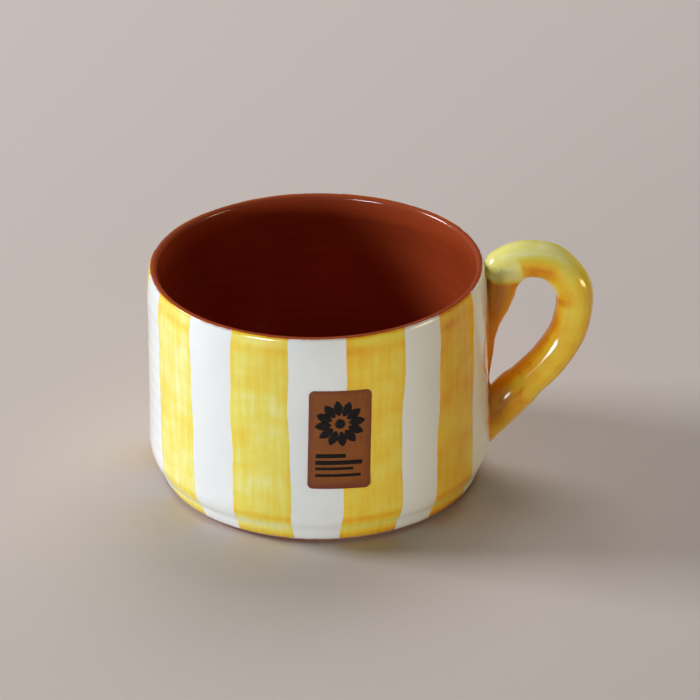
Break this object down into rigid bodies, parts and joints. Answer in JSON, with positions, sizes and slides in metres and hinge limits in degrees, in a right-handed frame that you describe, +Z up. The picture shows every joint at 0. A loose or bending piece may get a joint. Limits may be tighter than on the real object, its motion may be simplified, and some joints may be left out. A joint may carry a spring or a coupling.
{
  "type": "ceramic mug",
  "caption": "Low, wide hand-thrown earthenware mug with a raised coil handle, white outer glaze, brushed yellow vertical stripes, clear-glazed clay inside and a small paper sticker.",
  "frame": {"origin": "middle of the flat foot, on the surface the mug stands on", "axes": "+Z up out of the mouth, +X from the mug's axis towards the handle, the handle's plane is XZ"},
  "size_m": [0.1295, 0.1002, 0.0722],
  "materials": {
    "earthenware": "unglazed fired red clay",
    "clear_glaze": "glossy clear glaze over red clay",
    "white_glaze": "glossy opaque white tin glaze",
    "yellow_glaze": "glossy brushed yellow, streaked, darker where it pools",
    "sticker_paper": "smooth coppery brown printed paper"
  },
  "bodies": {
    "root": {"mug_body": "earthenware", "handle_coil": "earthenware", "upper_handle_luting": "earthenware", "lower_handle_luting": "earthenware", "outer_white_glaze": "white_glaze", "inner_clear_glaze": "clear_glaze", "handle_yellow_glaze": "yellow_glaze", "sticker": "sticker_paper", "handle_stroke": "yellow_glaze", "stripe_1": "yellow_glaze", "stripe_2": "yellow_glaze", "stripe_3": "yellow_glaze", "stripe_4": "yellow_glaze", "stripe_5": "yellow_glaze", "stripe_6": "yellow_glaze", "stripe_7": "yellow_glaze", "stripe_8": "yellow_glaze", "stripe_9": "yellow_glaze"}
  },
  "joints": []
}
